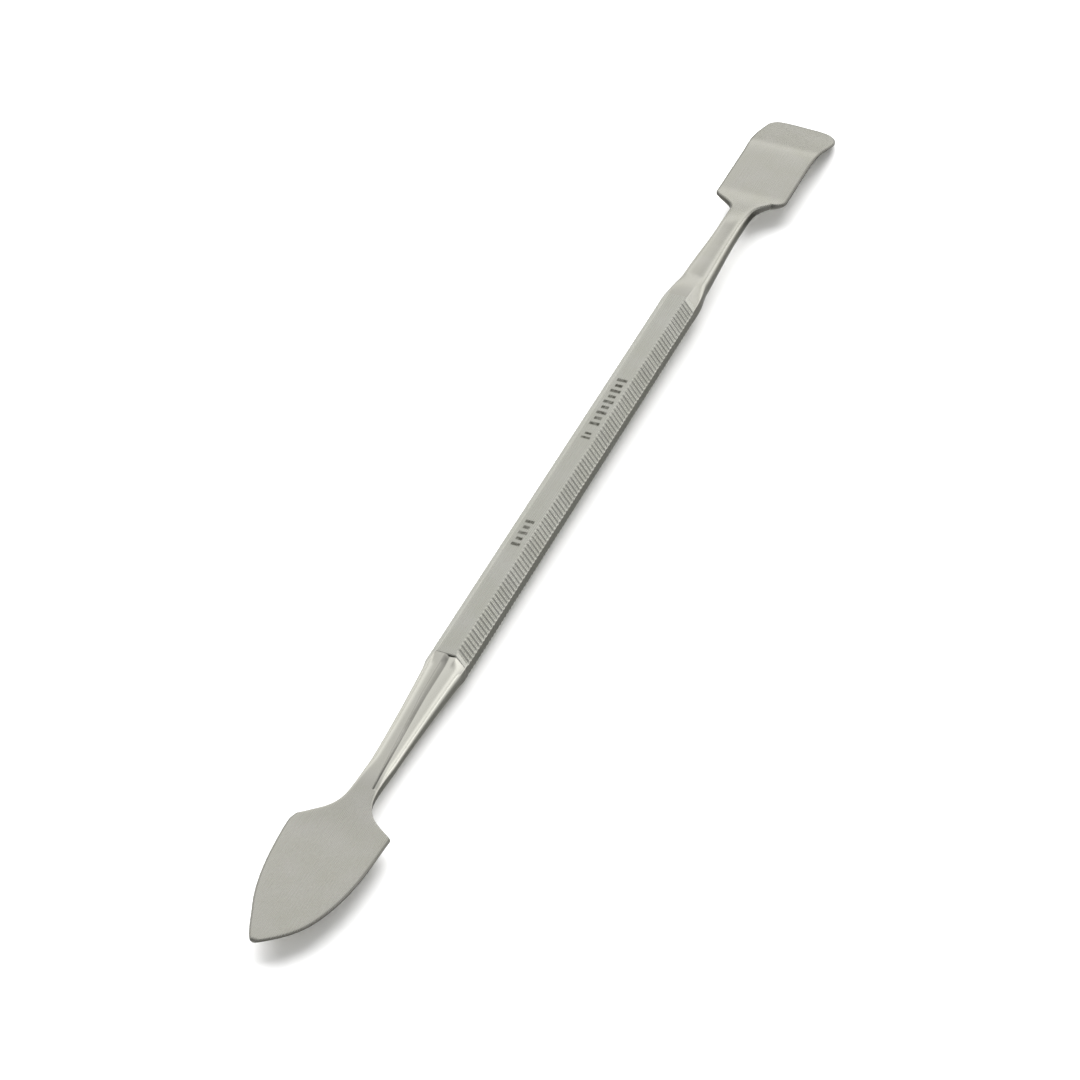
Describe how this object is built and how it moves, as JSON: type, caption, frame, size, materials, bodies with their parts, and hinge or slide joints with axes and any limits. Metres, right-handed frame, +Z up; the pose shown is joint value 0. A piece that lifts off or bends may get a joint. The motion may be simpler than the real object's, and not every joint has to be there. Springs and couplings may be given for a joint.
{
  "type": "spudger",
  "caption": "Double-ended steel spudger with an octagonal serrated handle, a pointed leaf spade at one end and a bent flat chisel at the other.",
  "frame": {"origin": "on the lowest plane, which the underside of the chisel edge touches, at the middle of the tool's length and width", "axes": "+X along the tool from the spade tip to the chisel edge; +Y to the left of that; +Z up, out of the marked top flat of the handle"},
  "size_m": [0.18, 0.0121, 0.0067],
  "materials": {
    "handle_steel": "satin, fine grain along the tool",
    "blade_steel": "hand-ground satin with polished necks"
  },
  "bodies": {
    "root": {"handle": "handle_steel", "spade_end": "blade_steel", "chisel_end": "blade_steel"}
  },
  "joints": []
}
